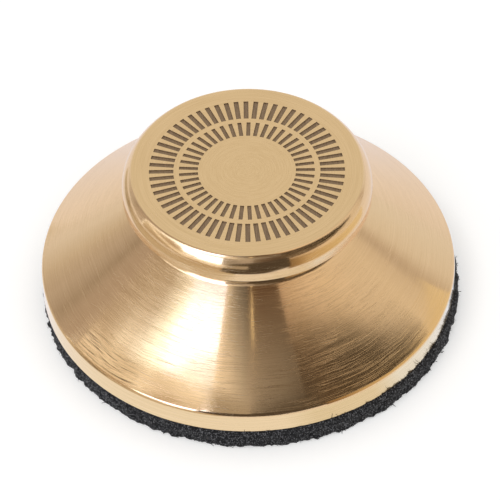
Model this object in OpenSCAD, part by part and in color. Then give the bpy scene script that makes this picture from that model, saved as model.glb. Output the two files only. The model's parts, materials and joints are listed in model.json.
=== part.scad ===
// Adapter that centres a large-hole record on a turntable spindle.
// A solid brass turning, wide at the base and narrow at the neck, stands on a felt pad.
// The spindle goes up into its blind bore and the record's hole drops over the knob,
// slides down the cone and comes to rest round the upright rim.

/* [Base and skirt] */
// Diameter of the upright rim, which fills the large hole of a record
base_d = 38; // [36:0.1:44]
// Height of the upright rim, up to where its edge begins to turn
rim_h = 1.85; // [1:0.05:2.6]
// Radius of the turned edge between the rim and the skirt
rim_edge_r = 0.5; // [0.1:0.05:0.8]
// Height of the brass alone
body_h = 13.8; // [12.6:0.1:20]

/* [Neck] */
// Diameter of the neck at the bottom of its groove
neck_d = 19.7; // [18:0.1:20]
// Radius of the round groove that makes the neck
neck_groove_r = 1; // [0.6:0.05:1.2]

/* [Knob] */
// Diameter of the knob over its lip
knob_d = 22.6; // [22.4:0.1:26]
// Height of the upright lip round the knob
lip_h = 0.95; // [0.4:0.05:1.4]
// Chamfer under the lip
lip_chamfer = 0.12; // [0.05:0.01:0.2]
// Diameter at which the flat top meets the crown
flat_d = 20.9; // [19.4:0.1:21.6]
// Drop from the flat top to the lip
crown_drop = 1.6; // [1.2:0.05:2]
// Radius of the crown between the flat top and the lip
crown_r = 2.6; // [2:0.1:6]
// Radius that softens the edge of the flat top
flat_edge_r = 0.3; // [0.1:0.05:0.5]

/* [Spindle bore] */
// Diameter of the blind bore that takes the spindle
bore_d = 7.3; // [7.2:0.05:8]
// Depth of the bore, from the underside of the brass
bore_depth = 11; // [8:0.1:12]
// Chamfer at the mouth of the bore
bore_chamfer = 0.4; // [0.1:0.05:0.8]

/* [Etched rings of ticks] */
// Depth of the etching in the flat top
etch_depth = 0.1; // [0.05:0.01:0.3]
// Number of ticks in the outer ring
outer_ticks = 60; // [12:1:80]
// Outer radius of the outer ring
outer_ring_r = 8.8; // [8:0.1:9.2]
// Length of a tick in the outer ring
outer_tick_l = 2.2; // [1:0.1:2.5]
// Width of a tick in the outer ring
outer_tick_w = 0.44; // [0.2:0.02:0.5]
// Number of ticks in the inner ring
inner_ticks = 45; // [12:1:50]
// Radial gap between the two rings
ring_gap = 0.5; // [0.2:0.1:1]
// Length of a tick in the inner ring
inner_tick_l = 1.7; // [0.6:0.1:2]
// Width of a tick in the inner ring
inner_tick_w = 0.36; // [0.2:0.02:0.4]

/* [Felt pad] */
// Thickness of the felt
felt_t = 2; // [1:0.1:3]
// How far the felt stays inside the brass rim, all round
felt_inset = 0; // [0:0.05:1]
// Clearance between the spindle and the hole in the felt, all round
felt_hole_clear = 0.85; // [0.3:0.05:2]

/* [Hidden] */
$fn = 128;
eps = 0.01;

base_r = base_d / 2;
neck_r = neck_d / 2;
knob_r = knob_d / 2;
flat_r = flat_d / 2;
bore_r = bore_d / 2;
lip_top = body_h - crown_drop;
lip_bottom = lip_top - lip_h;

// Unit vector at an angle, a vector's angle, and the point on a circle at an angle
function toward(angle) = [cos(angle), sin(angle)];
function angle_of(vector) = atan2(vector.y, vector.x);
function on_arc(centre, r, angle) = centre + r * toward(angle);

// The skirt is the straight line that touches the rim's edge from inside
// and the neck's groove from outside. skirt_normal is its outward direction.
edge_centre = [base_r - rim_edge_r, rim_h];
groove_centre = [neck_r + neck_groove_r, lip_bottom - neck_groove_r];
centres_apart = groove_centre - edge_centre;
skirt_normal = angle_of(centres_apart) - 90
    + asin((rim_edge_r + neck_groove_r) / norm(centres_apart));

// The crown is an arc through the flat top's corner and the lip's corner
crown_from = [knob_r, lip_top];
crown_to = [flat_r, body_h];
crown_chord = crown_to - crown_from;
crown_chord_angle = angle_of(crown_chord);
crown_half_turn = asin(norm(crown_chord) / 2 / crown_r);
crown_centre = (crown_from + crown_to) / 2
    + crown_r * cos(crown_half_turn) * toward(crown_chord_angle + 90);
crown_start = crown_chord_angle - 90 - crown_half_turn;

// The flat's edge is an arc that touches the flat top and the crown
flat_edge_z = body_h - flat_edge_r;
flat_edge_turn = asin((flat_edge_z - crown_centre.y) / (crown_r - flat_edge_r));
flat_edge_centre = on_arc(crown_centre, crown_r - flat_edge_r, flat_edge_turn);

// Pie slice of a circle, which rounds a corner of a section
module slice(centre, r, from, to) {
    reach = r / cos((to - from) / 2) * 1.01;
    intersection() {
        translate(centre) circle(r);
        polygon([
            centre,
            on_arc(centre, reach, from),
            on_arc(centre, reach, to)
        ]);
    }
}

// Half section of the brass, from the axis outwards
module brass_section() {
    difference() {
        union() {
            polygon([
                [0, 0],
                [base_r, 0],
                [base_r, rim_h],
                on_arc(edge_centre, rim_edge_r, skirt_normal),
                on_arc(groove_centre, -neck_groove_r, skirt_normal),
                groove_centre,
                [groove_centre.x, lip_bottom],
                [knob_r - lip_chamfer, lip_bottom],
                [knob_r, lip_bottom + lip_chamfer],
                crown_from,
                on_arc(crown_centre, crown_r, flat_edge_turn),
                [flat_edge_centre.x, body_h],
                [0, body_h]
            ]);
            slice(edge_centre, rim_edge_r, 0, skirt_normal);
            slice(crown_centre, crown_r, crown_start, flat_edge_turn);
            slice(flat_edge_centre, flat_edge_r, flat_edge_turn, 90);
        }
        translate(groove_centre) circle(neck_groove_r);
    }
}

// One ring of straight radial ticks, cut down from the flat top
module tick_ring(count, outer_r, length, width) {
    for (i = [0 : count - 1])
        rotate([0, 0, i * 360 / count])
            translate([outer_r - length, -width / 2, body_h - etch_depth])
                cube([length, width, etch_depth + eps]);
}

// Blind bore for the spindle, with its chamfered mouth
module spindle_bore() {
    translate([0, 0, -eps])
        cylinder(h = bore_depth + eps, r = bore_r);
    translate([0, 0, -eps])
        cylinder(h = bore_chamfer + eps, r1 = bore_r + bore_chamfer + eps, r2 = bore_r);
}

// The one-piece turning: rim, skirt, neck, knob, bore and etched top
module brass_body() {
    color("#d2ac72")
        translate([0, 0, felt_t])
            difference() {
                rotate_extrude() brass_section();
                spindle_bore();
                tick_ring(outer_ticks, outer_ring_r, outer_tick_l, outer_tick_w);
                tick_ring(
                    inner_ticks, outer_ring_r - outer_tick_l - ring_gap,
                    inner_tick_l, inner_tick_w
                );
            }
}

// Felt ring under the brass, with a hole that clears the spindle
module felt_pad() {
    color("#3a3a3e")
        difference() {
            cylinder(h = felt_t, r = base_r - felt_inset);
            translate([0, 0, -eps])
                cylinder(h = felt_t + 2 * eps, r = bore_r + felt_hole_clear);
        }
}

brass_body();
felt_pad();
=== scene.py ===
# %% [markdown]
# Record spindle adapter.
# The real object is one solid brass turning on a ring of black felt. A turntable's
# spindle goes up into its blind bore, and a record with a large hole drops over the
# knob and comes to rest round the rim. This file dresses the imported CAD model: it
# makes a finer brass body of the same form, a felt ring with a fuzzy cut edge, and
# the studio that polished metal needs, because metal shows little but its surroundings.

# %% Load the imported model
import json
import math

import bmesh
import bpy
from mathutils import Matrix, Vector

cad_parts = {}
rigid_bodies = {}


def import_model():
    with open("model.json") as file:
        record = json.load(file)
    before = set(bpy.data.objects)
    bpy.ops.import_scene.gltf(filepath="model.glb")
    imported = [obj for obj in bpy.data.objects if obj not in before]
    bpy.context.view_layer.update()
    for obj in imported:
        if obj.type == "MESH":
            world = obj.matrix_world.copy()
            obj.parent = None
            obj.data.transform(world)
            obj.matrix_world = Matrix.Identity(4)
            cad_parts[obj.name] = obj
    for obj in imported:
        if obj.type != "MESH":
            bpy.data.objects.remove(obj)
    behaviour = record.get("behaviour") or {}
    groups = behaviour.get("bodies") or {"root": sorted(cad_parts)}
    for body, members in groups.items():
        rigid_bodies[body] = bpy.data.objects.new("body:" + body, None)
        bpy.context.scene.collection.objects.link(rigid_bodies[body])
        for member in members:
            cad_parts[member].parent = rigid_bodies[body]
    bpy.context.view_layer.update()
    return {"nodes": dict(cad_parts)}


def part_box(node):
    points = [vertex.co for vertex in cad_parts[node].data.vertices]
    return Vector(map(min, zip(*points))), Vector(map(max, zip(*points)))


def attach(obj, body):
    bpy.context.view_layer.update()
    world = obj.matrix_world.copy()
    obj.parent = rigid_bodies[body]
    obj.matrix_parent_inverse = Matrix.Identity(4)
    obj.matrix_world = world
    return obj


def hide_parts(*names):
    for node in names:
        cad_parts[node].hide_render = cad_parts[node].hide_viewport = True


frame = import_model()
print("nodes:", sorted(frame["nodes"]))

# %% [markdown]
# Sizes come first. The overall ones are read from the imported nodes, so the looks follow
# the CAD model. The ones that a box can't give, such as the radius of the neck's groove,
# are written here in millimetres, as on the CAD model's own drawing.

# %% Sizes in millimetres
MM = 0.001


def in_mm(node, corner, axis):
    """One coordinate of a node's box, in millimetres."""
    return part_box(node)[corner][axis] / MM


BASE_R = in_mm("brass_body", 1, 0)
TOP_Z = in_mm("brass_body", 1, 2)
FELT_R = in_mm("felt_pad", 1, 0)
FELT_T = in_mm("felt_pad", 1, 2)
RIM_H = 1.85
RIM_EDGE_R = 0.5
NECK_R = 9.85
NECK_GROOVE_R = 1.0
KNOB_R = 11.3
LIP_H = 0.95
LIP_CHAMFER = 0.12
CROWN_DROP = 1.6
CROWN_R = 2.6
FLAT_R = 10.45
FLAT_EDGE_R = 0.3
BORE_R = 3.65
BORE_DEPTH = 11.0
BORE_CHAMFER = 0.4
RIM_TOP_Z = FELT_T + RIM_H
LIP_TOP_Z = TOP_Z - CROWN_DROP
LIP_BOTTOM_Z = LIP_TOP_Z - LIP_H
BORE_TOP_Z = FELT_T + BORE_DEPTH
print("brass", round(2 * BASE_R, 2), "mm across,", round(TOP_Z, 2), "mm to the top")

# %% [markdown]
# A lathe cuts a profile, so the brass starts as one half section. Each arc touches its
# neighbours, as a turning tool leaves them. Polished metal shows the slightest kink, so
# every arc has a support point just beside each end, which keeps the smooth shading of
# the arc from leaking onto the flat or the cone next to it.

# %% Helpers for the half section
ARC_STEPS = 14
SUPPORT = 0.04


def toward(degrees):
    """Unit vector at an angle in the half section, which holds (radius, height)."""
    return Vector((math.cos(math.radians(degrees)), math.sin(math.radians(degrees))))


def angle_of(vector):
    """Angle of a vector in the half section, in degrees."""
    return math.degrees(math.atan2(vector.y, vector.x))


def arc(centre, radius, start, end, steps=ARC_STEPS):
    """Points along an arc of the half section, both ends included."""
    turn = (end - start) / steps
    return [centre + radius * toward(start + turn * i) for i in range(steps + 1)]


def supported(points):
    """The same outline with a support point beside both ends of every long stretch."""
    result = [points[0]]
    for here, there in zip(points, points[1:]):
        gap = there - here
        if gap.length > 5 * SUPPORT:
            step = gap.normalized() * SUPPORT
            result += [here + step, there - step]
        result.append(there)
    return result


print("a quarter arc has", len(arc(Vector((0, 0)), 1, 0, 90)), "points")


# %% The brass half section
FOOT_EDGE_R = 0.06
FOOT_STEPS = 4


def crown_arc():
    """Centre, start and end angle of the arc from the lip's corner to the flat top."""
    lip_corner = Vector((KNOB_R, LIP_TOP_Z))
    chord = Vector((FLAT_R, TOP_Z)) - lip_corner
    half_turn = math.degrees(math.asin(chord.length / 2 / CROWN_R))
    middle = lip_corner + chord / 2
    inward = toward(angle_of(chord) + 90)
    centre = middle + CROWN_R * math.cos(math.radians(half_turn)) * inward
    start = angle_of(chord) - 90 - half_turn
    edge_height = TOP_Z - FLAT_EDGE_R - centre.y
    end = math.degrees(math.asin(edge_height / (CROWN_R - FLAT_EDGE_R)))
    return centre, start, end


def brass_section():
    """Outline from the top of the bore, round the outside, to the middle of the top."""
    foot_centre = Vector((BASE_R - FOOT_EDGE_R, FELT_T + FOOT_EDGE_R))
    rim_centre = Vector((BASE_R - RIM_EDGE_R, RIM_TOP_Z))
    groove_centre = Vector((NECK_R + NECK_GROOVE_R, LIP_BOTTOM_Z - NECK_GROOVE_R))
    apart = groove_centre - rim_centre
    lean = math.degrees(math.asin((RIM_EDGE_R + NECK_GROOVE_R) / apart.length))
    skirt_normal = angle_of(apart) - 90 + lean
    crown_centre, crown_start, crown_end = crown_arc()
    flat_edge_centre = crown_centre + (CROWN_R - FLAT_EDGE_R) * toward(crown_end)
    points = [
        Vector((0, BORE_TOP_Z)),
        Vector((BORE_R, BORE_TOP_Z)),
        Vector((BORE_R, FELT_T + BORE_CHAMFER)),
        Vector((BORE_R + BORE_CHAMFER, FELT_T)),
    ]
    points += arc(foot_centre, FOOT_EDGE_R, -90, 0, FOOT_STEPS)
    points += arc(rim_centre, RIM_EDGE_R, 0, skirt_normal)
    points += arc(groove_centre, NECK_GROOVE_R, 180 + skirt_normal, 90, 2 * ARC_STEPS)
    points += [
        Vector((KNOB_R - LIP_CHAMFER, LIP_BOTTOM_Z)),
        Vector((KNOB_R, LIP_BOTTOM_Z + LIP_CHAMFER)),
    ]
    points += arc(crown_centre, CROWN_R, crown_start, crown_end)
    points += arc(flat_edge_centre, FLAT_EDGE_R, crown_end, 90)[1:]
    points += [Vector((0, TOP_Z))]
    print("skirt's outward direction is", round(skirt_normal, 1), "degrees above level")
    return supported(points)


BRASS_SECTION = brass_section()
print("brass section has", len(BRASS_SECTION), "points")

# %% [markdown]
# Blender can turn a section with Spin, a Screw modifier or Geometry Nodes. Geometry
# Nodes were chosen, because the same small lathe then serves the brass and the felt, and
# its number of segments stays an input. The tree is built by a script, so a few helpers
# come first. They add a tree with named inputs, add a node with its inputs filled, and
# run a tree on a mesh and keep the result as a plain mesh.

# %% Helpers for node trees
def new_tree(name, sockets):
    """A geometry node tree with named inputs: a dict of name to (type, default)."""
    tree = bpy.data.node_groups.new(name, "GeometryNodeTree")
    for title, (kind, default) in sockets.items():
        socket = tree.interface.new_socket(title, in_out="INPUT", socket_type=kind)
        if default is not None:
            socket.default_value = default
    tree.interface.new_socket("Geometry", in_out="OUTPUT", socket_type="NodeSocketGeometry")
    return tree


def node(tree, kind, inputs=None, **settings):
    """Adds a node, sets its options and fills its inputs with values or links."""
    made = tree.nodes.new(kind)
    for key, value in settings.items():
        setattr(made, key, value)
    for key, value in (inputs or {}).items():
        if isinstance(value, bpy.types.NodeSocket):
            tree.links.new(value, made.inputs[key])
        else:
            made.inputs[key].default_value = value
    return made


def set_inputs(modifier, values):
    """Sets a Geometry Nodes modifier's inputs by the identifier of each named socket."""
    for item in modifier.node_group.interface.items_tree:
        if item.item_type == "SOCKET" and item.in_out == "INPUT" and item.name in values:
            modifier[item.identifier] = values[item.name]


def drop_empty_slots(mesh):
    """Removes material slots that hold nothing, with the faces' numbers moved down."""
    for slot in reversed(range(len(mesh.materials))):
        if mesh.materials[slot] is None:
            mesh.materials.pop(index=slot)


def linked(name, data):
    """A new object with its mesh, lamp or lens, linked to the scene."""
    made = bpy.data.objects.new(name, data)
    bpy.context.scene.collection.objects.link(made)
    return made


def grown(name, mesh, tree, values):
    """Runs a node tree on a mesh and returns the result as a plain object."""
    seedling = linked(name + "_source", mesh)
    modifier = seedling.modifiers.new(name, "NODES")
    modifier.node_group = tree
    set_inputs(modifier, values)
    bpy.context.view_layer.update()
    evaluated = seedling.evaluated_get(bpy.context.evaluated_depsgraph_get())
    result = bpy.data.meshes.new_from_object(evaluated)
    bpy.data.objects.remove(seedling)
    result.name = name
    drop_empty_slots(result)
    return linked(name, result)


# %% Helpers for sums inside a tree
def maths(tree, operation, *values):
    """A maths node on values or links, as its output."""
    return node(
        tree, "ShaderNodeMath", dict(enumerate(values)), operation=operation
    ).outputs[0]


def vector_maths(tree, operation, *values):
    """A vector maths node on values or links, as its output."""
    made = node(tree, "ShaderNodeVectorMath", dict(enumerate(values)), operation=operation)
    return made.outputs["Value" if operation == "LENGTH" else "Vector"]


def ramp(tree, value, low, high):
    """A smooth step from 0 to 1 while a value goes from one limit to the other."""
    return node(
        tree,
        "ShaderNodeMapRange",
        {"Value": value, "From Min": low, "From Max": high},
        interpolation_type="SMOOTHSTEP",
    ).outputs["Result"]


def noise(tree, vector, scale, detail=2.0):
    """Noise around 0.5, read at a vector."""
    return node(
        tree, "ShaderNodeTexNoise", {"Vector": vector, "Scale": scale, "Detail": detail}
    ).outputs["Fac"]


def level_part(tree, vector):
    """A vector without its height, so it points away from the axis."""
    return vector_maths(tree, "MULTIPLY", vector, (1, 1, 0))


def height_of(tree, vector):
    """The height of a place."""
    return node(tree, "ShaderNodeSeparateXYZ", {"Vector": vector}).outputs["Z"]


def compare(tree, operation, one, other):
    """A yes or no from two numbers of a geometry tree."""
    return node(
        tree, "FunctionNodeCompare", {"A": one, "B": other}, operation=operation
    ).outputs["Result"]


def both(tree, one, other):
    """Yes where two answers are yes."""
    return node(
        tree, "FunctionNodeBooleanMath", {0: one, 1: other}, operation="AND"
    ).outputs["Boolean"]


def with_finish(tree, geometry, finish):
    """Makes instances real and gives every face one material."""
    real = node(tree, "GeometryNodeRealizeInstances", {"Geometry": geometry})
    return node(
        tree,
        "GeometryNodeSetMaterial",
        {"Geometry": real.outputs["Geometry"], "Material": finish},
    ).outputs["Geometry"]


# %% [markdown]
# The lathe sweeps a half section round a circle with Curve to Mesh. The sweep puts the
# section's own origin on the circle, so the section is moved inwards by the circle's
# radius first. The doubles on the axis are merged, so seam and poles are closed.

# %% The lathe
PATH_R = 20.0 * MM
MERGE_GAP = 1e-7


def section_mesh(points, closed=False):
    """The half section as a chain of edges, placed for a sweep round the path circle."""
    mesh = bpy.data.meshes.new("section")
    corners = [(p.x * MM - PATH_R, -p.y * MM, 0) for p in points]
    edges = [(i, i + 1) for i in range(len(corners) - 1)]
    if closed:
        edges.append((len(corners) - 1, 0))
    mesh.from_pydata(corners, edges, [])
    return mesh


def add_lathe(tree, section, segments):
    """Adds the nodes that turn a section, and returns the turned mesh's socket."""
    profile = node(tree, "GeometryNodeMeshToCurve", {"Mesh": section})
    path = node(
        tree, "GeometryNodeCurvePrimitiveCircle", {"Resolution": segments, "Radius": PATH_R}
    )
    sweep = node(
        tree,
        "GeometryNodeCurveToMesh",
        {"Curve": path.outputs["Curve"], "Profile Curve": profile.outputs["Curve"]},
    )
    return node(
        tree,
        "GeometryNodeMergeByDistance",
        {"Geometry": sweep.outputs["Mesh"], "Distance": MERGE_GAP},
    ).outputs["Geometry"]


BRASS_CHAIN = section_mesh(BRASS_SECTION)
print("the brass section is a chain of", len(BRASS_CHAIN.edges), "edges")

# %% [markdown]
# The flat top carries two rings of short radial ticks, which are etched a tenth of a
# millimetre deep. They could be painted by a mask in the material, but then the exported
# mesh would be bare. One small block is instanced round a circle for each ring instead,
# and a boolean cuts all of them out of the turned mesh, as etching takes metal away.

# %% The rings of ticks
ETCH_DEPTH = 0.1
RING_GAP = 0.5
OUTER_RING = {"count": 60, "outer_r": 8.8, "length": 2.2, "width": 0.44}
INNER_RING = {
    "count": 45,
    "outer_r": OUTER_RING["outer_r"] - OUTER_RING["length"] - RING_GAP,
    "length": 1.7,
    "width": 0.36,
}


def add_tick_ring(tree, count, outer_r, length, width):
    """Adds the nodes for one ring of blocks that reach through the flat top."""
    size = (length * MM, width * MM, 2 * ETCH_DEPTH * MM)
    block = node(tree, "GeometryNodeMeshCube", {"Size": size})
    ring = node(
        tree,
        "GeometryNodeMeshCircle",
        {"Vertices": count, "Radius": (outer_r - length / 2) * MM},
    )
    index = node(tree, "GeometryNodeInputIndex").outputs["Index"]
    angle = maths(tree, "MULTIPLY", index, 2 * math.pi / count)
    turn = node(tree, "ShaderNodeCombineXYZ", {"Z": angle})
    ticks = node(
        tree,
        "GeometryNodeInstanceOnPoints",
        {
            "Points": ring.outputs["Mesh"],
            "Instance": block.outputs["Mesh"],
            "Rotation": turn.outputs["Vector"],
        },
    )
    return node(
        tree,
        "GeometryNodeTransform",
        {"Geometry": ticks.outputs["Instances"], "Translation": (0, 0, TOP_Z * MM)},
    ).outputs["Geometry"]


print("ticks:", OUTER_RING["count"], "and", INNER_RING["count"])


# %% The brass tree
RING_MARGIN = 0.2


def add_etched_mask(tree):
    """Yes on the faces inside the ticks, which lie just below the flat top."""
    position = node(tree, "GeometryNodeInputPosition").outputs["Position"]
    height = height_of(tree, position)
    radius = vector_maths(tree, "LENGTH", level_part(tree, position))
    low, high = (TOP_Z - 1.5 * ETCH_DEPTH) * MM, (TOP_Z - 0.2 * ETCH_DEPTH) * MM
    between = both(
        tree,
        compare(tree, "GREATER_THAN", height, low),
        compare(tree, "LESS_THAN", height, high),
    )
    edge = (OUTER_RING["outer_r"] + RING_MARGIN) * MM
    return both(tree, between, compare(tree, "LESS_THAN", radius, edge))


def brass_tree():
    """Turns the section, cuts both rings of ticks and gives their floor its own finish."""
    tree = new_tree(
        "turned_brass",
        {
            "Section": ("NodeSocketGeometry", None),
            "Segments": ("NodeSocketInt", 256),
            "Brass": ("NodeSocketMaterial", None),
            "Etching": ("NodeSocketMaterial", None),
        },
    )
    start = node(tree, "NodeGroupInput").outputs
    turned = add_lathe(tree, start["Section"], start["Segments"])
    blocks = node(tree, "GeometryNodeJoinGeometry")
    for ring in (OUTER_RING, INNER_RING):
        tree.links.new(add_tick_ring(tree, **ring), blocks.inputs["Geometry"])
    solid_blocks = node(
        tree, "GeometryNodeRealizeInstances", {"Geometry": blocks.outputs["Geometry"]}
    )
    cut = node(
        tree,
        "GeometryNodeMeshBoolean",
        {"Mesh 1": turned, "Mesh 2": solid_blocks.outputs["Geometry"]},
        operation="DIFFERENCE",
        solver="EXACT",
    )
    done = node(
        tree,
        "GeometryNodeSetMaterial",
        {
            "Geometry": with_finish(tree, cut.outputs["Mesh"], start["Brass"]),
            "Selection": add_etched_mask(tree),
            "Material": start["Etching"],
        },
    )
    node(tree, "NodeGroupOutput", {"Geometry": done.outputs["Geometry"]})
    return tree


BRASS_TREE = brass_tree()
print("brass tree:", len(BRASS_TREE.nodes), "nodes")

# %% [markdown]
# Polished brass is a metal, so its colour is the colour of its reflection. The lathe
# leaves fine rings round the axis, polishing adds short brush lines that lean a little to
# either side, and low on the left of the skirt handling has left a patch of deeper
# scratches. All three are noise, read in coordinates that are unrolled round the axis,
# so a plain noise turns into rings and arcs. Grooves round the axis also spread a
# reflection along the slope and hardly round it. An anisotropic shader does the same,
# with a tangent that runs down the slope.

# %% Helpers for materials
LEANS_PER_RADIAN = 5


def material(name):
    """A new node material, its node tree and its Principled shader."""
    made = bpy.data.materials.new(name)
    made.use_nodes = True
    return made, made.node_tree, made.node_tree.nodes["Principled BSDF"]


def place_on(tree):
    """The place on the piece, in metres."""
    return node(tree, "ShaderNodeTexCoord").outputs["Object"]


def mix(tree, factor, first, second):
    """Blends two colours."""
    return node(
        tree, "ShaderNodeMix", {"Factor": factor, "A": first, "B": second}, data_type="RGBA"
    ).outputs["Result"]


def round_coordinates(tree, along, across, wander=0.0, shift=0.0):
    """Coordinates unrolled round the axis, in which a noise turns into rings or arcs.

    Patterns repeat `across` times a millimetre down the slope and `along` times a radian
    round the axis. `wander` in millimetres lets the arcs lean to one side and the other.
    """
    place = place_on(tree)
    flat = level_part(tree, place)
    heading = vector_maths(tree, "NORMALIZE", flat)
    slope = maths(
        tree, "SUBTRACT", vector_maths(tree, "LENGTH", flat), height_of(tree, place)
    )
    slope = maths(tree, "MULTIPLY", slope, 1 / MM)
    if wander:
        leans, start = (LEANS_PER_RADIAN,) * 3, (shift,) * 3
        seeded = vector_maths(tree, "MULTIPLY_ADD", heading, leans, start)
        lean = maths(tree, "SUBTRACT", noise(tree, seeded, 1.0, 1.0), 0.5)
        slope = maths(tree, "MULTIPLY_ADD", lean, wander, slope)
    slope = maths(tree, "MULTIPLY_ADD", slope, across, shift)
    split = node(tree, "ShaderNodeSeparateXYZ", {"Vector": heading}).outputs
    east = maths(tree, "MULTIPLY", split["X"], along)
    north = maths(tree, "MULTIPLY", split["Y"], along)
    return node(
        tree, "ShaderNodeCombineXYZ", {"X": slope, "Y": east, "Z": north}
    ).outputs["Vector"]


def down_the_slope(tree):
    """Tangent that runs across the turning lines, from the axis outwards."""
    round_axis = vector_maths(
        tree, "CROSS_PRODUCT", (0, 0, 1), level_part(tree, place_on(tree))
    )
    normal = node(tree, "ShaderNodeNewGeometry").outputs["Normal"]
    across = vector_maths(tree, "CROSS_PRODUCT", round_axis, normal)
    return vector_maths(tree, "NORMALIZE", across)


# %% Polished brass
BRASS_DULL, BRASS_BRIGHT = (0.785, 0.55, 0.288, 1), (0.855, 0.61, 0.332, 1)
SCRATCHED = (0.05, 0.025, 0.012, 1)
WORN_SPOT = (-13.5, -12.9, 4.3)
WORN_CORE_R, WORN_EDGE_R = 2.3, 4.6
WORN_FOOT, WORN_HEAD = (3.8, 4.1), (6.2, 4.9)
LINE_EDGE = 0.05
FINE_SHARE = 0.7
BASE_ROUGH, RING_ROUGH, LINE_ROUGH = 0.07, 0.10, 0.16
RING_RELIEF, LINE_RELIEF = 0.22, -0.10
RELIEF_DEPTH = 0.004


def brush_lines(tree, along, across, wander, shift, threshold):
    """Short fine scratches that run round the axis and lean a little."""
    arcs = round_coordinates(tree, along, across, wander, shift)
    return ramp(tree, noise(tree, arcs, 1.0, 1.0), threshold, threshold + LINE_EDGE)


def near(tree, spot, inner, outer):
    """One round a spot given in millimetres, falling to nothing further off."""
    offset = vector_maths(tree, "SUBTRACT", place_on(tree), tuple(v * MM for v in spot))
    return ramp(tree, vector_maths(tree, "LENGTH", offset), outer * MM, inner * MM)


def worn_scratches(tree):
    """Deeper scratches round the worn spot, on the lowest part of the skirt only."""
    deep = brush_lines(tree, along=6.0, across=15.0, wander=0.8, shift=14.0, threshold=0.59)
    height = height_of(tree, place_on(tree))
    above_rim = ramp(tree, height, *(limit * MM for limit in WORN_FOOT))
    low_down = ramp(tree, height, *(limit * MM for limit in WORN_HEAD))
    worn = maths(tree, "MULTIPLY", above_rim, low_down)
    worn = maths(tree, "MULTIPLY", worn, near(tree, WORN_SPOT, WORN_CORE_R, WORN_EDGE_R))
    return maths(tree, "MULTIPLY", deep, worn)


def polished_brass():
    """Turned and polished brass with rings, brush lines and a patch of deeper scratches."""
    made, tree, shader = material("polished_brass")
    rings = noise(tree, round_coordinates(tree, along=2.0, across=11.0), 1.0, 3.0)
    fine = brush_lines(tree, along=3.0, across=13.0, wander=0.9, shift=3.0, threshold=0.57)
    short = brush_lines(tree, along=5.0, across=12.0, wander=1.4, shift=8.0, threshold=0.66)
    lines = maths(tree, "MAXIMUM", maths(tree, "MULTIPLY", fine, FINE_SHARE), short)
    turned = mix(tree, ramp(tree, rings, 0.3, 0.7), BRASS_DULL, BRASS_BRIGHT)
    colour = mix(tree, worn_scratches(tree), turned, SCRATCHED)
    rough = maths(tree, "MULTIPLY_ADD", rings, RING_ROUGH, BASE_ROUGH)
    rough = maths(tree, "MULTIPLY_ADD", lines, LINE_ROUGH, rough)
    relief = maths(tree, "MULTIPLY", rings, RING_RELIEF)
    relief = maths(tree, "MULTIPLY_ADD", lines, LINE_RELIEF, relief)
    bump = node(
        tree,
        "ShaderNodeBump",
        {"Height": relief, "Strength": 1.0, "Distance": RELIEF_DEPTH * MM},
    )
    shader.inputs["Metallic"].default_value = 1.0
    shader.inputs["Anisotropic"].default_value = 0.7
    tree.links.new(colour, shader.inputs["Base Color"])
    tree.links.new(rough, shader.inputs["Roughness"])
    tree.links.new(bump.outputs["Normal"], shader.inputs["Normal"])
    tree.links.new(down_the_slope(tree), shader.inputs["Tangent"])
    return made


POLISHED_BRASS = polished_brass()
print(POLISHED_BRASS.name, "has", len(POLISHED_BRASS.node_tree.nodes), "nodes")

# %% [markdown]
# An engraving laser leaves the floor of each tick dark and matt, with a fine hatch where
# its beam went to and fro. A noise that is stretched far more along one direction than
# along the other gives that hatch, and a Mapping node turns it to the beam's direction.

# %% Etched brass
HATCH_TURN = 30
HATCH_SCALE = (9000, 700, 1)
ETCHED_DARK, ETCHED_LIGHT = (0.16, 0.10, 0.05, 1), (0.34, 0.23, 0.13, 1)


def etched_brass():
    """The dark, finely hatched floor that an engraving laser leaves."""
    made, tree, shader = material("etched_brass")
    hatch = node(
        tree,
        "ShaderNodeMapping",
        {
            "Vector": place_on(tree),
            "Rotation": (0, 0, math.radians(HATCH_TURN)),
            "Scale": HATCH_SCALE,
        },
    ).outputs["Vector"]
    colour = mix(tree, noise(tree, hatch, 1.0, 1.0), ETCHED_DARK, ETCHED_LIGHT)
    tree.links.new(colour, shader.inputs["Base Color"])
    shader.inputs["Metallic"].default_value = 0.4
    shader.inputs["Roughness"].default_value = 0.6
    return made


ETCHED_BRASS = etched_brass()
print(ETCHED_BRASS.name, "has", len(ETCHED_BRASS.node_tree.nodes), "nodes")

# %% [markdown]
# The tree now runs on the chain of edges. Its result is smooth, apart from the edges
# that a tool leaves crisp, such as those of the ticks and of the lip's chamfer. A sweep
# can leave a closed shell inside out. Its signed volume tells, because it is negative
# where the faces look inwards, and such a shell is turned right side out.

# %% Make the brass body
def face_outwards(piece):
    """Turns a closed piece right side out if need be, and prints what it holds."""
    shell = bmesh.new()
    shell.from_mesh(piece.data)
    volume = shell.calc_volume(signed=True)
    shell.free()
    if volume < 0:
        piece.data.flip_normals()
    print(piece.name, "holds", round(abs(volume) / MM**3, 2), "cubic mm, turned:", volume < 0)


CRISP_EDGE = 25
brass_body = grown(
    "turned_brass_body",
    BRASS_CHAIN,
    BRASS_TREE,
    {"Brass": POLISHED_BRASS, "Etching": ETCHED_BRASS},
)
brass_body.data.shade_smooth()
brass_body.data.set_sharp_from_angle(angle=math.radians(CRISP_EDGE))
face_outwards(brass_body)
print("brass body:", len(brass_body.data.polygons), "faces")
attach(brass_body, "root")
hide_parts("brass_body")

# %% [markdown]
# The felt is a ring punched out of black wool felt. Its cut edge isn't smooth: the
# punch tears the fibres, so the wall is lumpy and tufts stand out from it, some of them
# past the brass. A displaced cylinder would do, but the lathe is there already. It turns
# a section with many rows up its wall and a rounded shoulder, so that the brass shows
# above it all round, and noise then moves the wall. The felt was glued on a little off
# centre, so the whole ring is moved by a fraction of a millimetre.

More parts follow.
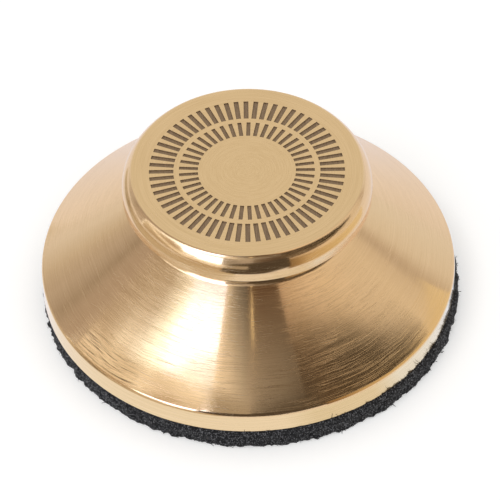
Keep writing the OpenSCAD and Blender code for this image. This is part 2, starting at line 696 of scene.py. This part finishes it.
# %% The felt's section
FELT_HOLE_CLEAR = 0.85
FELT_HOLE_R = BORE_R + FELT_HOLE_CLEAR
FELT_ROWS = 14
FELT_CORNER = 0.12
FELT_SHOULDER = 0.4
FELT_SUPPORT = 1.0


def felt_section():
    """Closed outline of the ring, with many rows up the outer wall for the lumps."""
    wall = FELT_T - FELT_CORNER - FELT_SHOULDER
    outline = [
        (FELT_HOLE_R, 0),
        (FELT_R - FELT_SUPPORT, 0),
        (FELT_R - FELT_CORNER, 0),
        *((FELT_R, FELT_CORNER + wall * i / FELT_ROWS) for i in range(FELT_ROWS + 1)),
        (FELT_R - FELT_CORNER, FELT_T - FELT_SHOULDER / 2),
        (FELT_R - FELT_SHOULDER, FELT_T),
        (FELT_R - FELT_SUPPORT, FELT_T),
        (FELT_HOLE_R, FELT_T),
    ]
    return [Vector(point) for point in outline]


FELT_CHAIN = section_mesh(felt_section(), closed=True)
print("the felt's section has", len(FELT_CHAIN.edges), "edges")


# %% The felt tree
LUMPS_PER_MM, GRAINS_PER_MM = 1.1, 4.5
GRAIN_SHARE = 0.45
STILL_AT = 0.66
TUFT_RISE = 0.35
WALL_DEPTH, WALL_SKIN = 0.5, 0.1
FELT_SHIFT = (0.25 * MM, -0.05 * MM, 0)


def add_wall_mask(tree, position):
    """Outward direction, and one on the outer wall that falls to nothing inside it."""
    flat = level_part(tree, position)
    radius = vector_maths(tree, "LENGTH", flat)
    outward = vector_maths(tree, "NORMALIZE", flat)
    mask = ramp(tree, radius, (FELT_R - WALL_DEPTH) * MM, (FELT_R - WALL_SKIN) * MM)
    return outward, mask


def felt_tree():
    """Turns the ring, pushes its wall in and out in lumps and shifts the whole."""
    tree = new_tree(
        "punched_felt",
        {
            "Section": ("NodeSocketGeometry", None),
            "Segments": ("NodeSocketInt", 900),
            "Lump": ("NodeSocketFloat", 0.8 * MM),
            "Felt": ("NodeSocketMaterial", None),
        },
    )
    start = node(tree, "NodeGroupInput").outputs
    turned = add_lathe(tree, start["Section"], start["Segments"])
    position = node(tree, "GeometryNodeInputPosition").outputs["Position"]
    outward, mask = add_wall_mask(tree, position)
    coarse = noise(tree, position, LUMPS_PER_MM / MM)
    fine = noise(tree, position, GRAINS_PER_MM / MM)
    lumps = maths(tree, "MULTIPLY_ADD", fine, GRAIN_SHARE, coarse)
    lumps = maths(tree, "SUBTRACT", lumps, STILL_AT)
    push = maths(tree, "MULTIPLY", maths(tree, "MULTIPLY", lumps, mask), start["Lump"])
    sideways = node(
        tree, "ShaderNodeVectorMath", {0: outward, "Scale": push}, operation="SCALE"
    ).outputs["Vector"]
    at_top = ramp(tree, height_of(tree, position), 1.0 * MM, FELT_T * MM)
    tuft = maths(tree, "MULTIPLY", maths(tree, "MAXIMUM", push, 0.0), at_top)
    rise = maths(tree, "MULTIPLY", tuft, TUFT_RISE)
    upwards = node(tree, "ShaderNodeCombineXYZ", {"Z": rise}).outputs["Vector"]
    offset = vector_maths(tree, "ADD", sideways, upwards)
    offset = vector_maths(tree, "ADD", offset, FELT_SHIFT)
    moved = node(tree, "GeometryNodeSetPosition", {"Geometry": turned, "Offset": offset})
    done = with_finish(tree, moved.outputs["Geometry"], start["Felt"])
    node(tree, "NodeGroupOutput", {"Geometry": done})
    return tree


FELT_TREE = felt_tree()
print("felt tree:", len(FELT_TREE.nodes), "nodes")

# %% [markdown]
# A few thousand loose fibres make the edge fuzzy. Hair curves would be quicker to lay,
# but the export needs a mesh. One bent fibre of three sides is instanced on points that
# are scattered over the wall, each turned and scaled by chance from a fixed seed. A high
# power of that chance keeps nearly all of them short and lets a few grow long. Those
# that would dip into the table are laid flat on it.

# %% The fuzz tree
FIBRE_CURVE = {"Start": (0, 0, -0.1), "Middle": (0.1, 0, 0.5), "End": (0.7, 0, 0.6)}
LEAST_TURN, MOST_TURN = (-0.9, -0.9, 0.0), (0.9, 0.9, 6.28)
LEAST_SIZE, SIZE_SPREAD, LONG_POWER = 0.4, 0.7, 9.0
ON_WALL = 0.9
LEAST_HEIGHT = 0.02


def add_fibre(tree, length, thickness):
    """Adds the nodes for one bent fibre of three sides."""
    bend = node(tree, "GeometryNodeCurveQuadraticBezier", {"Resolution": 3, **FIBRE_CURVE})
    scale = node(tree, "ShaderNodeCombineXYZ", {"X": length, "Y": length, "Z": length})
    sized = node(
        tree,
        "GeometryNodeTransform",
        {"Geometry": bend.outputs["Curve"], "Scale": scale.outputs["Vector"]},
    )
    ring = node(
        tree, "GeometryNodeCurvePrimitiveCircle", {"Resolution": 3, "Radius": thickness}
    )
    return node(
        tree,
        "GeometryNodeCurveToMesh",
        {
            "Curve": sized.outputs["Geometry"],
            "Profile Curve": ring.outputs["Curve"],
            "Fill Caps": True,
        },
    ).outputs["Mesh"]


def add_chance(tree, seed):
    """Adds the nodes for a random turn and a random size of each fibre."""
    turn = node(
        tree,
        "FunctionNodeRandomValue",
        {"Min": LEAST_TURN, "Max": MOST_TURN, "Seed": seed},
        data_type="FLOAT_VECTOR",
    ).outputs["Value"]
    chance = node(
        tree, "FunctionNodeRandomValue", {2: 0.0, 3: 1.0, "Seed": seed}, data_type="FLOAT"
    ).outputs[1]
    long_ones = maths(tree, "POWER", chance, LONG_POWER)
    size = maths(tree, "MULTIPLY_ADD", chance, SIZE_SPREAD, LEAST_SIZE)
    return turn, maths(tree, "ADD", size, long_ones)


def fuzz_tree():
    """Scatters bent fibres over the outer wall of the felt."""
    tree = new_tree(
        "felt_fuzz",
        {
            "Wall": ("NodeSocketGeometry", None),
            "Density": ("NodeSocketFloat", 2.5e7),
            "Length": ("NodeSocketFloat", 0.5 * MM),
            "Thickness": ("NodeSocketFloat", 0.018 * MM),
            "Seed": ("NodeSocketInt", 4),
            "Felt": ("NodeSocketMaterial", None),
        },
    )
    start = node(tree, "NodeGroupInput").outputs
    position = node(tree, "GeometryNodeInputPosition").outputs["Position"]
    _, mask = add_wall_mask(tree, position)
    scatter = node(
        tree,
        "GeometryNodeDistributePointsOnFaces",
        {
            "Mesh": start["Wall"],
            "Selection": compare(tree, "GREATER_THAN", mask, ON_WALL),
            "Density": start["Density"],
            "Seed": start["Seed"],
        },
    )
    turn, size = add_chance(tree, start["Seed"])
    rotation = node(
        tree,
        "FunctionNodeRotateRotation",
        {"Rotation": scatter.outputs["Rotation"], "Rotate By": turn},
        rotation_space="LOCAL",
    )
    hair = node(
        tree,
        "GeometryNodeInstanceOnPoints",
        {
            "Points": scatter.outputs["Points"],
            "Instance": add_fibre(tree, start["Length"], start["Thickness"]),
            "Rotation": rotation.outputs["Rotation"],
            "Scale": size,
        },
    )
    real = node(tree, "GeometryNodeRealizeInstances", {"Geometry": hair.outputs["Instances"]})
    above_table = vector_maths(tree, "MAXIMUM", position, (-1, -1, LEAST_HEIGHT * MM))
    laid = node(
        tree,
        "GeometryNodeSetPosition",
        {"Geometry": real.outputs["Geometry"], "Position": above_table},
    )
    done = with_finish(tree, laid.outputs["Geometry"], start["Felt"])
    node(tree, "NodeGroupOutput", {"Geometry": done})
    return tree


FUZZ_TREE = fuzz_tree()
print("fuzz tree:", len(FUZZ_TREE.nodes), "nodes")

# %% [markdown]
# Black wool isn't quite black: charcoal fibres lie between paler ones, and nothing on it
# shines. A noise with small features gives the flecks, and a little sheen stands for the
# light that catches the fibres' tips.

# %% Black wool felt
FLECKS_PER_MM = 7.0
CHARCOAL, PALE_WOOL = (0.012, 0.012, 0.013, 1), (0.16, 0.16, 0.17, 1)


def wool_felt():
    """Charcoal wool with lighter, slightly blue flecks and no gloss."""
    made, tree, shader = material("wool_felt")
    flecks = noise(tree, place_on(tree), FLECKS_PER_MM / MM, 3.0)
    colour = mix(tree, ramp(tree, flecks, 0.50, 0.68), CHARCOAL, PALE_WOOL)
    tree.links.new(colour, shader.inputs["Base Color"])
    shader.inputs["Roughness"].default_value = 1.0
    shader.inputs["Specular IOR Level"].default_value = 0.1
    shader.inputs["Sheen Weight"].default_value = 0.15
    return made


WOOL_FELT = wool_felt()
print(WOOL_FELT.name, "has", len(WOOL_FELT.node_tree.nodes), "nodes")

# %% [markdown]
# The closed section comes out of the sweep inside out, so the ring has to be turned. The
# fibres are laid before that. They then run along the wall and into it, and only their
# bends stand out, which keeps the fuzz as short as on the real felt.

# %% Make the felt ring and its fuzz
felt_ring = grown("felt_ring", FELT_CHAIN, FELT_TREE, {"Felt": WOOL_FELT})
felt_ring.data.shade_smooth()
felt_fuzz = grown("felt_fuzz", felt_ring.data.copy(), FUZZ_TREE, {"Felt": WOOL_FELT})
for piece in (felt_ring, felt_fuzz):
    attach(piece, "root")
    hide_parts("felt_pad")
    face_outwards(piece)
    print(piece.name, len(piece.data.polygons), "faces")

# %% [markdown]
# The floor is white to the camera and keeps the object's shadow: it is a pale diffuse
# surface with a little glow on top. The glow depends on which ray looks. The camera sees
# more of it, and the metal sees less and bluer, which keeps the brass from turning
# orange near the table. From below the floor lets the view through, so that the
# underside can be looked at.

# %% Floor
def bare_tree(owner):
    """The empty node tree of a material or a world."""
    owner.use_nodes = True
    owner.node_tree.nodes.clear()
    return owner.node_tree


FLOOR_HALF = 2.0
FLOOR_COLOUR = (0.8, 0.8, 0.8, 1)
FLOOR_GLOW = 0.34
GLOSSY_GLOW = {"Red": 0.20, "Green": 0.20, "Blue": 0.32}


def floor_material():
    """White ground that keeps shadows and has no back face."""
    made = bpy.data.materials.new("studio_floor")
    tree = bare_tree(made)
    paint = node(tree, "ShaderNodeBsdfDiffuse", {"Color": FLOOR_COLOUR})
    ray = node(tree, "ShaderNodeLightPath").outputs
    direct = maths(tree, "MAXIMUM", ray["Is Camera Ray"], ray["Is Transmission Ray"])
    seen = maths(tree, "MULTIPLY", direct, FLOOR_GLOW)
    channels = {
        name: maths(tree, "MULTIPLY_ADD", ray["Is Glossy Ray"], glow, seen)
        for name, glow in GLOSSY_GLOW.items()
    }
    colour = node(tree, "ShaderNodeCombineColor", channels)
    glow = node(tree, "ShaderNodeEmission", {"Color": colour.outputs["Color"]})
    lit = node(
        tree, "ShaderNodeAddShader", {0: paint.outputs["BSDF"], 1: glow.outputs["Emission"]}
    )
    clear = node(tree, "ShaderNodeBsdfTransparent")
    back = node(tree, "ShaderNodeNewGeometry").outputs["Backfacing"]
    sided = node(
        tree,
        "ShaderNodeMixShader",
        {0: back, 1: lit.outputs["Shader"], 2: clear.outputs["BSDF"]},
    )
    node(tree, "ShaderNodeOutputMaterial", {"Surface": sided.outputs["Shader"]})
    return made


def flat_square(name, half, finish):
    """A square face that looks along +Z."""
    mesh = bpy.data.meshes.new(name)
    corners = [(-half, -half, 0), (half, -half, 0), (half, half, 0), (-half, half, 0)]
    mesh.from_pydata(corners, [], [(0, 1, 2, 3)])
    mesh.materials.append(finish)
    return linked(name, mesh)


floor = flat_square("floor", FLOOR_HALF, floor_material())
print("floor:", 2 * FLOOR_HALF, "m wide")

# %% [markdown]
# The object stands in a small pale light tent and a softbox lights it from the front
# left. The tent is the world, which the camera sees as pure white. The softbox is an area
# lamp that reflections don't show: its face is painted on a screen later, where its
# outline and colours can be shaped.

# %% Light tent
TENT_STRENGTH = 0.80


def light_tent():
    """A pale tent all round, which the camera sees as pure white."""
    world = bpy.data.worlds.new("light_tent")
    tree = bare_tree(world)
    tent = node(
        tree, "ShaderNodeBackground", {"Color": (1, 0.99, 0.97, 1), "Strength": TENT_STRENGTH}
    )
    white = node(tree, "ShaderNodeBackground", {"Color": (1, 1, 1, 1), "Strength": 1.0})
    camera_ray = node(tree, "ShaderNodeLightPath").outputs["Is Camera Ray"]
    mixed = node(
        tree,
        "ShaderNodeMixShader",
        {0: camera_ray, 1: tent.outputs["Background"], 2: white.outputs["Background"]},
    )
    node(tree, "ShaderNodeOutputWorld", {"Surface": mixed.outputs["Shader"]})
    bpy.context.scene.world = world


light_tent()
print("tent strength:", TENT_STRENGTH)

# %% Softbox
CENTRE = Vector((0, 0, 8)) * MM


def bearing(azimuth, elevation):
    """Unit vector towards a part of the studio: azimuth 0 is the camera's side."""
    turn, rise = math.radians(azimuth), math.radians(elevation)
    level = math.cos(rise)
    return Vector((math.sin(turn) * level, -math.cos(turn) * level, math.sin(rise)))


def softbox(name, azimuth, elevation, distance, width, height, radiance):
    """A rectangular lamp towards the centre, given by how bright its face would look."""
    lamp = bpy.data.lights.new(name, "AREA")
    lamp.shape = "RECTANGLE"
    lamp.size = width * MM
    lamp.size_y = height * MM
    lamp.energy = radiance * math.pi * lamp.size * lamp.size_y
    made = linked(name, lamp)
    away = bearing(azimuth, elevation)
    # A lamp shines along its own -Z, so its +Z points away from the object
    facing = away.to_track_quat("Z", "Y").to_matrix().to_4x4()
    made.matrix_world = Matrix.Translation(CENTRE + away * distance * MM) @ facing
    made.visible_camera = False
    made.visible_glossy = False
    print(name, "gives", round(lamp.energy, 3), "W")


softbox("softbox", azimuth=-40, elevation=52, distance=500, width=260, height=190, radiance=3.0)

# %% [markdown]
# Polished metal shows what is around it: the softbox's face, the dark gap for the lens,
# the tent's folds and the low things on the table. Real cards and lamps could stand
# there, but they would light and shade the object as well. Folded screens of plain
# colour were chosen instead. A screen is a strip between upright posts with a colour
# painted on the foot and the head of each, so colours blend along it and up it. Only
# glossy rays see the screens, so they shape the reflections and nothing else.

# %% Helpers for painted screens
def painted_finish():
    """Glow in the colour that is painted on each corner of a screen."""
    finish = bpy.data.materials.new("painted_screen")
    tree = bare_tree(finish)
    paint = node(tree, "ShaderNodeAttribute", attribute_name="paint").outputs["Color"]
    glow = node(tree, "ShaderNodeEmission", {"Color": paint})
    node(tree, "ShaderNodeOutputMaterial", {"Surface": glow.outputs["Emission"]})
    return finish


PAINTED_FINISH = painted_finish()


def screen(name, posts):
    """A folded screen between upright posts: (foot, head, foot colour, head colour).

    Feet and heads are in millimetres. Colours blend from post to post.
    """
    corners = [Vector(end) * MM for foot, head, _, _ in posts for end in (foot, head)]
    faces = [(2 * i, 2 * i + 2, 2 * i + 3, 2 * i + 1) for i in range(len(posts) - 1)]
    mesh = bpy.data.meshes.new(name)
    mesh.from_pydata(corners, [], faces)
    paint = mesh.color_attributes.new("paint", "FLOAT_COLOR", "POINT")
    colours = [colour for _, _, low, high in posts for colour in (low, high)]
    for corner, colour in zip(paint.data, colours):
        corner.color = (*colour, 1)
    mesh.materials.append(PAINTED_FINISH)
    made = linked(name, mesh)
    made.visible_camera = False
    made.visible_diffuse = False
    made.visible_shadow = False
    made.visible_transmission = False
    print("screen", name, "has", len(posts), "posts")


def sky_point(azimuth, elevation, distance):
    """A point round the centre, in millimetres."""
    return CENTRE / MM + bearing(azimuth, elevation) * distance


def cut_screen(name, distance, posts):
    """A screen whose posts are (azimuth, low, high, low colour, high colour)."""
    screen(
        name,
        [
            (sky_point(turn, low, distance), sky_point(turn, high, distance), dark, light)
            for turn, low, high, dark, light in posts
        ],
    )


def tall_screen(name, distance, low, high, stops):
    """A screen of one height, with an (azimuth, foot colour, head colour) for each post."""
    cut_screen(name, distance, [(turn, low, high, *colours) for turn, *colours in stops])


def plain_screen(name, distance, low, high, stops):
    """A screen of one height, with an (azimuth, colour) pair for each post."""
    tall_screen(name, distance, low, high, [(turn, tone, tone) for turn, tone in stops])


# %% [markdown]
# The softbox's face is the brightest thing that the skirt and the crown show. Its upper
# edge drops towards the left, which shapes how the skirt's highlight ends. Two more
# screens stand in front of it: one fades the face out towards the table, and a narrow
# one close to the object dims a band above that.

# %% The softbox's face
WHITE = (3.5, 3.9, 6.2)
CREAM = (2.8, 3.3, 4.2)
GOLD = (2.4, 3.0, 4.2)
HONEY = (1.6, 1.7, 2.0)
FACE_FOOT = -2
SOFTBOX_FACE = [
    (-20.6, 47.6, WHITE, WHITE),
    (-28, 46.7, WHITE, WHITE),
    (-35, 45.7, WHITE, WHITE),
    (-40, 44.7, WHITE, WHITE),
    (-47, 43.0, WHITE, WHITE),
    (-53, 40.9, CREAM, CREAM),
    (-60, 37.6, GOLD, (2.2, 2.6, 3.3)),
    (-67, 34.4, GOLD, (1.8, 2.0, 2.5)),
    (-72, 32.6, GOLD, HONEY),
    (-77, 30.7, HONEY, HONEY),
    (-83, 26.7, HONEY, HONEY),
    (-89, 22.8, HONEY, HONEY),
    (-93, 19, HONEY, HONEY),
]
AMBER, RUST = (0.70, 0.63, 0.52), (0.52, 0.44, 0.37)
SOFTBOX_FADE = [
    (-20.6, 21, AMBER, (4.2, 4.2, 4.6)),
    (-35, 25, AMBER, (2.8, 2.8, 3.0)),
    (-50, 29, RUST, (1.2, 1.15, 1.15)),
    (-67, 28, RUST, (0.62, 0.52, 0.45)),
    (-80, 24, RUST, (0.70, 0.62, 0.56)),
    (-92, 17, RUST, (0.90, 0.85, 0.80)),
]
HAZE, BRIM, SIDE = (0.80, 0.82, 0.95), (1.5, 1.75, 2.3), (1.9, 2.3, 3.2)
SOFTBOX_FOOT = [
    (-19.5, 31.5, 39.5, HAZE, BRIM),
    (-26, 31.2, 38.0, HAZE, BRIM),
    (-32, 31.0, 37.0, HAZE, BRIM),
    (-37.5, 30.3, 35.2, HAZE, BRIM),
    (-44, 28.8, 33.2, HAZE, SIDE),
    (-51.5, 27.2, 30.4, HAZE, SIDE),
    (-60, 25.0, 27.2, HAZE, SIDE),
]
cut_screen("softbox_face", 120, [(turn, FACE_FOOT, *rest) for turn, *rest in SOFTBOX_FACE])
cut_screen("softbox_fade", 116, [(turn, FACE_FOOT, *rest) for turn, *rest in SOFTBOX_FADE])
cut_screen("softbox_foot", 60, SOFTBOX_FOOT)

# %% [markdown]
# Two dark things break up the brightness. A dark wall stands to the right of the lens,
# and the lens looks in through a gap in the tent. The gap's darkness isn't even, so a
# near screen grades it from its foot to its head, and a narrow slit makes the thin
# bright line down the middle of the skirt.

# %% The dark wall and the gap for the lens
SMOKE, UMBER = (0.20, 0.16, 0.13), (0.05, 0.035, 0.025)
DARK, DARKER = (0.09, 0.07, 0.045), (0.02, 0.015, 0.01)
DARK_WALL = [
    (27, 20, 43.0, SMOKE, UMBER),
    (32.5, 17.7, 42.5, SMOKE, UMBER),
    (39.8, 16.6, 41.3, SMOKE, UMBER),
    (52.5, 15.4, 37.8, SMOKE, DARKER),
    (62.8, 15.3, 34.3, DARK, DARKER),
    (73.5, 15.5, 28.9, DARK, DARKER),
    (82.3, 15.9, 23.9, DARK, DARKER),
    (89.6, 16.3, 19.6, DARK, DARKER),
    (93, 16.4, 17.2, DARK, DARKER),
]
cut_screen("dark_wall", 80, DARK_WALL)

LENS_GAP = [
    (-23, (0.55, 0.53, 0.54)),
    (-18, (0.46, 0.44, 0.45)),
    (-12, (0.38, 0.36, 0.37)),
    (-6, (0.46, 0.43, 0.44)),
    (0, (0.53, 0.49, 0.50)),
    (4.2, (0.50, 0.46, 0.47)),
    (4.8, (0.27, 0.23, 0.21)),
    (10, (0.20, 0.16, 0.14)),
    (16, (0.15, 0.11, 0.09)),
    (24, (0.12, 0.085, 0.065)),
    (29, (0.12, 0.085, 0.065)),
]
plain_screen("lens_gap", 250, 5, 80, LENS_GAP)


def grey(level):
    """A warm grey of the studio's dark side."""
    return (level * 1.04, level, level * 1.02)


TAR = (0.12, 0.07, 0.04)
LENS_GLOW = [
    (-19.4, grey(1.50), grey(0.85)),
    (-16, grey(1.25), grey(0.55)),
    (-12.5, grey(1.20), grey(0.25)),
    (-8, grey(0.88), grey(0.17)),
    (-2.5, grey(0.60), grey(0.11)),
    (2.5, grey(0.48), TAR),
    (7.8, grey(0.43), TAR),
    (12.5, grey(0.38), TAR),
    (18, grey(0.33), TAR),
    (23, grey(0.26), TAR),
    (27, grey(0.19), TAR),
]
GLOW_FOOT, GLOW_HEAD, TOP_HEAD = 34.5, 46.5, 58
SLIT = (1.7, 1.5, 1.1)
tall_screen("lens_glow", 60, GLOW_FOOT, GLOW_HEAD, LENS_GLOW)
plain_screen("lens_top", 60, GLOW_HEAD, TOP_HEAD, [(turn, head) for turn, _, head in LENS_GLOW])
plain_screen("lens_slit", 50, 39.8, 44.4, [(1.9, SLIT), (3.2, SLIT)])

# %% [markdown]
# The tent's walls are pale, but they aren't all one colour. Folds in the cloth give the
# darker streaks on both sides of the skirt, and its left wall grows lighter towards the
# table.

# %% The walls of the tent
TENT_RIGHT = [
    (24, (0.55, 0.43, 0.36)),
    (31, (0.64, 0.50, 0.43)),
    (45, (0.82, 0.69, 0.60)),
    (59, (0.92, 0.80, 0.73)),
    (71, (0.92, 0.82, 0.75)),
    (83, (0.88, 0.80, 0.76)),
    (103, (0.82, 0.77, 0.75)),
    (110, (0.76, 0.71, 0.70)),
    (114, (0.60, 0.55, 0.55)),
    (117, (0.66, 0.61, 0.61)),
    (122, (0.82, 0.81, 0.86)),
]
TENT_LEFT = [
    (-135, (0.84, 0.85, 0.95)),
    (-126, (0.67, 0.64, 0.65)),
    (-118, (0.55, 0.51, 0.53)),
    (-112, (0.47, 0.43, 0.44)),
    (-109, (0.39, 0.35, 0.34)),
    (-105, (0.50, 0.45, 0.46)),
    (-96, (0.50, 0.44, 0.44)),
    (-83, (0.48, 0.42, 0.38)),
    (-70, (0.54, 0.48, 0.44)),
    (-58, (0.70, 0.66, 0.64)),
    (-48, (0.66, 0.62, 0.61)),
    (-38, (0.45, 0.41, 0.40)),
    (-20, (0.35, 0.31, 0.30)),
]
LEFT_GLOW = [
    (-118, (0.68, 0.66, 0.70), (0.55, 0.51, 0.53)),
    (-112, (0.64, 0.60, 0.62), (0.47, 0.43, 0.44)),
    (-109, (0.62, 0.58, 0.59), (0.41, 0.37, 0.36)),
    (-104, (0.60, 0.56, 0.56), (0.51, 0.46, 0.47)),
    (-98, (0.60, 0.55, 0.55), (0.56, 0.50, 0.51)),
]
COOL = (0.86, 0.88, 0.97)
TENT_BACK = [
    (122, (0.82, 0.81, 0.86)),
    (134, COOL),
    (155, COOL),
    (180, COOL),
    (205, COOL),
    (225, (0.84, 0.85, 0.95)),
]
plain_screen("tent_right", 400, 0, 75, TENT_RIGHT)
plain_screen("tent_left", 400, -5, 75, TENT_LEFT)
tall_screen("left_glow", 280, -5, 19, LEFT_GLOW)
plain_screen("tent_back", 400, -8, 30, TENT_BACK)

# %% [markdown]
# Near the table the metal mirrors low things: pale rails over a mat at the front left, a
# dark fence in front and a warm one on the right. The upright rim shows only the strip
# of table right in front of it, so a pale ring lies there.

# %% Low screens on the table
def low_screen(name, posts):
    """A near screen: (x, y, low, high, low colour, high colour) for each post."""
    screen(
        name,
        [((x, y, low), (x, y, high), dark, light) for x, y, low, high, dark, light in posts],
    )


SAND, BARK, PALE = (0.95, 0.90, 0.88), (0.48, 0.44, 0.41), (1.4, 1.4, 1.5)
LEFT_RAIL = [
    (0, -28.6, 13, 17, BARK, BARK),
    (-6, -26.3, 13, 17, BARK, BARK),
    (-9, -25.1, 13, 17, SAND, PALE),
    (-13.5, -23.4, 14, 18, SAND, PALE),
    (-20, -20.9, 14, 17.8, PALE, SAND),
    (-27, -18.5, 16, 19.2, PALE, (0.68, 0.62, 0.53)),
    (-62.7, -4.4, 28, 31, PALE, PALE),
]
CLAY = (0.56, 0.47, 0.37)
LEFT_FENCE = [
    (-7.9, -25.6, 10, 13, CLAY, CLAY),
    (-13.5, -23.4, 11, 14, CLAY, CLAY),
    (-27, -18.5, 13, 16, CLAY, CLAY),
    (-62.7, -4.4, 23, 28, CLAY, CLAY),
]
LOAM, COCOA, OAT = (0.66, 0.60, 0.53), (0.42, 0.36, 0.28), (0.72, 0.68, 0.60)
LEFT_MAT = [
    ((-4, -24, 0.5), (-12, -70, 0.5), LOAM, CLAY),
    ((-16.6, -16.8, 0.5), (-70, -50, 0.5), LOAM, CLAY),
    ((-24, -5, 0.5), (-90, -10, 0.5), LOAM, CLAY),
    ((-36, 10, 0.5), (-95, 40, 0.5), COCOA, COCOA),
    ((-36, 32, 0.5), (-70, 70, 0.5), OAT, OAT),
]
low_screen("left_rail", LEFT_RAIL)
low_screen("left_fence", LEFT_FENCE)
screen("left_mat", LEFT_MAT)


# %% Round screens on the table
def round_low_screen(name, distance, posts):
    """A low screen on a circle: (azimuth, low, high, colour) for each post."""
    spots = [bearing(turn, 0) * distance for turn, _, _, _ in posts]
    heights = [(low, high, colour, colour) for _, low, high, colour in posts]
    low_screen(name, [(spot.x, spot.y, *rest) for spot, rest in zip(spots, heights)])


SOOT = (0.09, 0.075, 0.065)
FRONT_FENCE = [
    (-20, 6, 15.4, SOOT),
    (-17, 4, 16.2, SOOT),
    (-9, 0, 21.8, SOOT),
    (0, 0, 23.7, SOOT),
    (10, 0, 25, SOOT),
    (20, 4, 25, SOOT),
    (29, 6, 25, SOOT),
]
RIGHT_FENCE = [
    (28, 1, 20, (0.29, 0.20, 0.12)),
    (35, 1, 19, (0.42, 0.30, 0.17)),
    (44, 1, 18, (0.66, 0.52, 0.34)),
    (60, 1, 15, (0.75, 0.62, 0.41)),
    (80, 1, 13.5, (0.84, 0.73, 0.53)),
    (98, 1, 12.5, (0.88, 0.80, 0.65)),
]
round_low_screen("front_fence", 35, FRONT_FENCE)
round_low_screen("right_fence", 36, RIGHT_FENCE)

CHALK, BONE, FROST = (1.0, 1.07, 1.22), (0.88, 0.92, 0.95), (0.95, 1.12, 1.45)
RIM_MAT_ARCS = [(-130, 10, CHALK), (20, 40, BONE), (50, 130, FROST)]
RIM_MAT_STEP = 10
RIM_MAT_INNER, RIM_MAT_OUTER = 19.4, 24
RIM_MAT_LIFT = Vector((0, 0, 0.3))
RIM_MAT = []
for first, last, tone in RIM_MAT_ARCS:
    for azimuth in range(first, last + 1, RIM_MAT_STEP):
        away = bearing(azimuth, 0)
        inner_end = away * RIM_MAT_INNER + RIM_MAT_LIFT
        RIM_MAT.append((inner_end, away * RIM_MAT_OUTER + RIM_MAT_LIFT, tone, tone))
screen("rim_mat", RIM_MAT)

# %% [markdown]
# The camera looks from the front and above, with a long lens, as in the photograph. Its
# place was found by fitting the outlines of the rim, the knob and the flat top. The small
# roll and the aim below the middle are part of that fit.

# %% Camera
CAMERA_DISTANCE = 350
CAMERA_ELEVATION = 46.36
CAMERA_ROLL = -0.83
FIT_CENTRE = Vector((0, 0, FELT_T + 8)) * MM
AIM_RIGHT, AIM_DOWN = 0.174, 3.174
HALF_PICTURE_PX, FOCAL_LENGTH_PX = 250, 3852.8


def add_camera():
    """Places the camera and makes it the scene's own."""
    lens = bpy.data.cameras.new("camera")
    lens.sensor_width = 36
    lens.angle = 2 * math.atan(HALF_PICTURE_PX / FOCAL_LENGTH_PX)
    lens.clip_start = 0.01
    camera = linked("camera", lens)
    backward = bearing(0, CAMERA_ELEVATION)
    right = Vector((1, 0, 0))
    up = backward.cross(right)
    spot = FIT_CENTRE + backward * CAMERA_DISTANCE * MM
    target = FIT_CENTRE + (right * AIM_RIGHT - up * AIM_DOWN) * MM
    look = (spot - target).normalized()
    side = up.cross(look).normalized()
    basis = Matrix((side, look.cross(side), look)).transposed().to_4x4()
    roll = Matrix.Rotation(math.radians(CAMERA_ROLL), 4, "Z")
    camera.matrix_world = Matrix.Translation(spot) @ basis @ roll
    bpy.context.scene.camera = camera
    print("camera at", [round(value / MM) for value in spot], "mm")


add_camera()
bpy.context.scene.view_settings.view_transform = "Standard"
